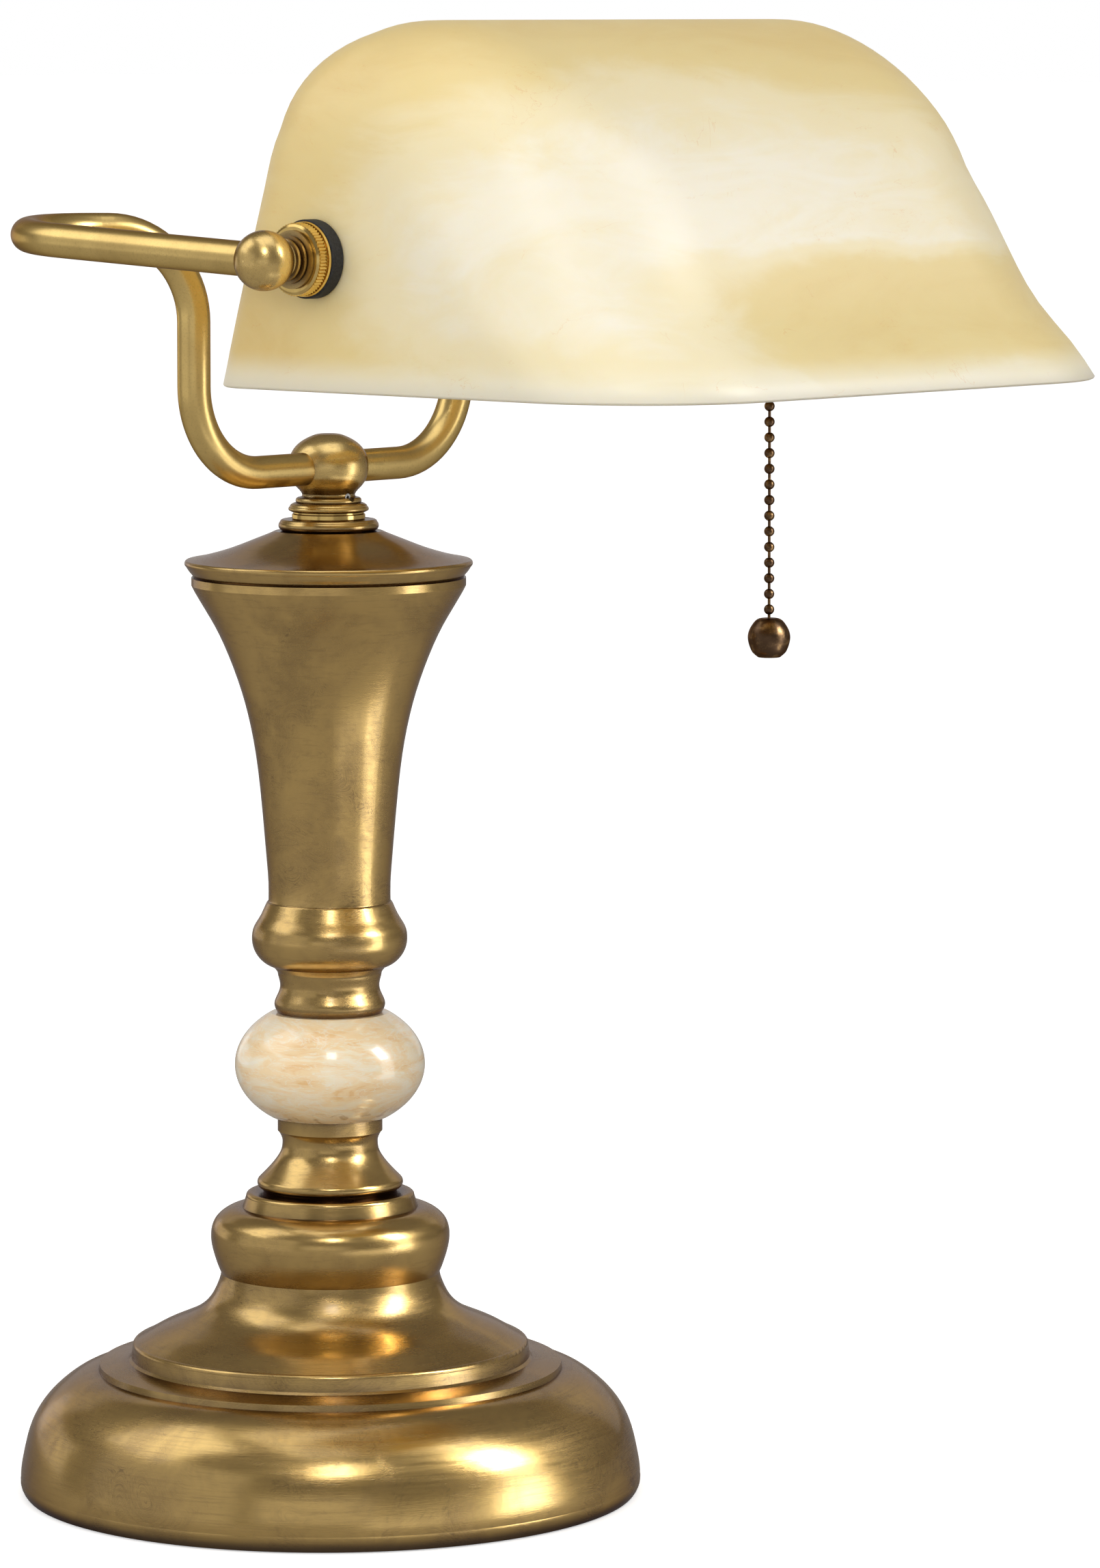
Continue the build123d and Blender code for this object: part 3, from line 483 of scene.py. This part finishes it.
def cased_glass():
    """Satin glass, cream over amber, with a painted glow: palest where the front is full, fading to the
    glass's amber at the crown, ends and flare.
    """
    t = Tree("cased_glass")
    x, y, z = t.position(TILT_AXIS)
    swirl = t.noise(t.vector(x, t.times(y, 1.3), t.times(z, 2.0)), 9.0, 4.0, 0.55, 1.4)
    streak = t.noise(t.vector(t.times(x, 0.6), y, t.times(z, 2.2)), 24.0, 4.0, 0.6, 2.6)

    def squared(value, middle, reach):
        share = t.math("DIVIDE", t.minus(value, middle), reach)
        return t.times(share, share)

    # Lengths here are from the tilt axis: a painted glow, palest at the full part of the front and fading
    # to the glass's amber away from it, then the amber band above the lip.
    full = t.plus(t.plus(squared(x, -0.030, 0.140), squared(y, -0.080, 0.100)),
                  squared(z, 0.004, 0.052))
    away = t.span(full, 0.05, 1.80, 0.05, 0.88)
    wavy = t.plus(z, t.swing(swirl, 0.022))
    band = t.span(squared(wavy, -0.018, 0.026), 0.0, 1.0, 1.0, 0.0)
    band = t.times(band, t.span(y, -0.045, -0.085))
    band = t.times(band, t.span(x, -0.125, -0.010, 0.0, 0.80))
    # The amber share: the painted glow's fade or the band, whichever is stronger.
    amber = t.math("MAXIMUM", away, band)
    amber = t.plus(amber, t.swing(swirl, 0.38))
    amber = t.plus(amber, t.swing(streak, 0.35))
    colour = t.ramp(amber, [(0.0, (0.95, 0.86, 0.69)), (0.30, (0.91, 0.77, 0.49)),
                            (0.65, (0.83, 0.65, 0.30)), (1.0, (0.77, 0.57, 0.23))])
    lip = t.span(z, -0.0365, -0.026, 1.0, 0.0)
    colour = t.mix(t.times(lip, 0.75), colour, (0.95, 0.89, 0.74))
    vein = t.noise(t.vector(x, y, t.times(z, 1.5)), 17.0, 5.0, 0.55, 3.0)
    thread = t.span(t.math("ABSOLUTE", t.minus(vein, 0.52)), 0.0, 0.005, 1.0, 0.0)
    thread = t.times(thread, t.span(streak, 0.52, 0.66, 0.0, 0.35))
    colour = t.mix(thread, colour, (0.75, 0.38, 0.12))
    t.set(Base_Color=colour, Roughness=0.46, IOR=1.5, Coat_Weight=0.12, Coat_Roughness=0.30,
          Subsurface_Weight=0.35, Subsurface_Radius=(1.0, 0.75, 0.45), Subsurface_Scale=0.012)
    return t.material


def make_shade():
    """The glass as a finer mesh in place of the CAD node, moving with the shade's body."""
    piece = shade_mesh()
    drill_pivots(piece)
    for face in piece.data.polygons:
        face.use_smooth = True
    piece.data.materials.clear()
    piece.data.materials.append(cased_glass())
    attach(piece, "shade")
    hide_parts("glass_shade")


def frosted_glass():
    """The bulb: white frosted glass with a faint warm glow."""
    t = Tree("frosted_glass")
    x, y, z = t.position()
    grain = t.noise(t.vector(x, y, z), 900.0, 2.0, 0.5)
    t.set(Base_Color=(0.95, 0.93, 0.87, 1), Roughness=t.plus(t.times(grain, 0.1), 0.35),
          Subsurface_Weight=0.4, Subsurface_Radius=(1.0, 0.9, 0.7), Subsurface_Scale=0.01,
          Emission_Color=(1.0, 0.9, 0.7, 1), Emission_Strength=0.3)
    return t.material


# ---------------------------------------------------------------- dressing the CAD nodes
def dress():
    turned = brushed_brass("turned_brass")
    wear("base_shell", "lower_neck", "upper_neck", "vase", "vase_cap", "check_ring", material=turned)
    wear("yoke_hub", material=brushed_brass("hub_brass", **PIVOT_SHINE))
    wear("left_end_ball", "right_end_ball", "socket_cap", "socket_shell",
         material=brushed_brass("pivot_brass", "X", TILT_AXIS, **PIVOT_SHINE))
    wear("left_arm", "right_arm", material=tube_brass())
    wear("lock_collar", "left_knurled_nut", "right_knurled_nut", "left_lock_nut", "right_lock_nut",
         "screw_shell", "chain_bell", material=polished_brass())
    wear("chain_top", "chain_link", "chain_lower", "pull_knob", material=dark_bronze())
    wear("stone_ball", material=marble())
    wear("left_outer_pad", "right_outer_pad", "left_inner_pad", "right_inner_pad",
         material=dull("black_rubber", (0.012, 0.012, 0.013), 0.75, 1500.0, 0.00008))
    wear("base_felt", material=dull("felt", (0.03, 0.03, 0.03), 0.95, 2200.0, 0.0004))
    wear("base_weight", material=dull("cast_iron", (0.10, 0.10, 0.105), 0.7, 500.0, 0.0003))
    wear("cord_bushing", "switch_body",
         material=dull("black_plastic", (0.02, 0.02, 0.021), 0.45, 900.0, 0.00005))
    wear("socket_liner", material=dull("liner_card", (0.26, 0.19, 0.12), 0.85, 700.0, 0.0001))
    wear("lead_wire", material=dull("wire_jacket", (0.55, 0.42, 0.18), 0.4, 300.0, 0.00005))
    wear("bottom_washer", "bottom_nut", "threaded_rod", "hub_set_screw", "left_nipple", "right_nipple",
         material=plain_metal("zinc_steel", (0.62, 0.61, 0.58), 0.35, 700.0))
    wear("bulb_base", material=plain_metal("lamp_base", (0.78, 0.77, 0.74), 0.3, 900.0))
    wear("bulb_glass", material=frosted_glass())


# ---------------------------------------------------------------- stage and light
ROOM_SOFT = 0.72          # strength of the room as soft light, and as metal mirrors it
ROOM_MIRRORED = 0.20
LIT_POINT = Vector((0, -0.04, 0.24))  # where every light points: the middle of the lamp


def make_floor():
    """Pale paper: almost white to the camera, darker in what it sends back up to the lamp."""
    bpy.ops.mesh.primitive_plane_add(size=60.0, location=(0, 0, 0))
    floor = bpy.context.active_object
    floor.name = "floor"
    t = Tree("floor_paper")
    seen = t.nodes.new("ShaderNodeLightPath").outputs["Is Camera Ray"]
    t.set(Base_Color=t.mix(seen, (0.37, 0.36, 0.35), (0.93, 0.93, 0.93)), Roughness=0.9,
          Specular_IOR_Level=0.1, Emission_Color=(1, 1, 1, 1), Emission_Strength=t.times(seen, 0.50))
    floor.data.materials.append(t.material)


def make_world():
    """An even white room: full behind the lamp, bright for soft light, dimmer where metal mirrors it."""
    world = bpy.data.worlds.new("studio")
    bpy.context.scene.world = world
    world.use_nodes = True
    nodes, links = world.node_tree.nodes, world.node_tree.links
    path = nodes.new("ShaderNodeLightPath")

    def room(colour, strength):
        node = nodes.new("ShaderNodeBackground")
        node.inputs[0].default_value = (*colour, 1)
        node.inputs[1].default_value = strength
        return node.outputs[0]

    def choose(kind, otherwise, chosen):
        node = nodes.new("ShaderNodeMixShader")
        links.new(path.outputs[kind], node.inputs[0])
        links.new(otherwise, node.inputs[1])
        links.new(chosen, node.inputs[2])
        return node.outputs[0]

    soft = room((1.0, 0.98, 0.96), ROOM_SOFT)
    mirrored = room((1.0, 0.94, 0.88), ROOM_MIRRORED)
    around = choose("Is Glossy Ray", soft, mirrored)
    links.new(choose("Is Camera Ray", around, room((1, 1, 1), 1.0)), nodes["World Output"].inputs[0])


def softbox(name, azimuth, elevation, away, width, height, power, diffuse=False, glossy=True):
    """An area light aimed at the lamp, unseen by the camera: at an azimuth to the camera's right and an
    elevation in degrees, metres away, with its size in metres and its power in watts. It shows in gloss,
    lights diffuse surfaces, or both."""
    data = bpy.data.lights.new(name, "AREA")
    data.shape = "RECTANGLE"
    data.size, data.size_y = width, height
    data.energy = power
    light = bpy.data.objects.new(name, data)
    turn = CAMERA_AZIMUTH - math.radians(azimuth)
    rise = math.radians(elevation)
    toward = Vector((-math.sin(turn) * math.cos(rise), -math.cos(turn) * math.cos(rise), math.sin(rise)))
    light.location = LIT_POINT + away * toward
    light.rotation_euler = (-toward).to_track_quat("-Z", "Y").to_euler()
    light.visible_diffuse = diffuse
    light.visible_glossy = glossy
    light.visible_camera = False
    bpy.context.scene.collection.objects.link(light)


def light_lamp():
    """Strips and cards that the metal mirrors, then two soft washes for everything else."""
    softbox("key", 76, 30, 1.7, 0.36, 0.7, 12)
    softbox("side_strip", 77, 20, 0.6, 0.22, 0.9, 1.5)
    softbox("side_floor", 74, -28, 0.45, 0.20, 0.14, 0.15)
    softbox("front_floor", 42, -33, 0.42, 0.45, 0.14, 0.10)
    softbox("front", 3, 40, 1.9, 0.35, 0.5, 5)
    softbox("front_low", -5, 4, 2.0, 1.6, 0.5, 1.0)
    softbox("left_card", -66, 12, 1.6, 2.0, 1.2, 2.2)
    softbox("left_rim", -135, 2, 2.0, 1.4, 0.6, 1.5)
    softbox("upper_left", -92, 44, 1.6, 1.0, 1.0, 3.8)
    softbox("top", 20, 82, 1.6, 1.2, 1.2, 5)
    softbox("backdrop", 180, 14, 2.2, 3.2, 1.3, 5)
    softbox("wash", 26, 30, 2.4, 2.5, 2.5, 22, diffuse=True, glossy=False)
    softbox("left_wash", -48, 8, 2.4, 2.0, 2.0, 20, diffuse=True, glossy=False)


make_camera()
dress()
make_shade()
make_floor()
make_world()
light_lamp()
bpy.context.scene.view_settings.view_transform = "Standard"
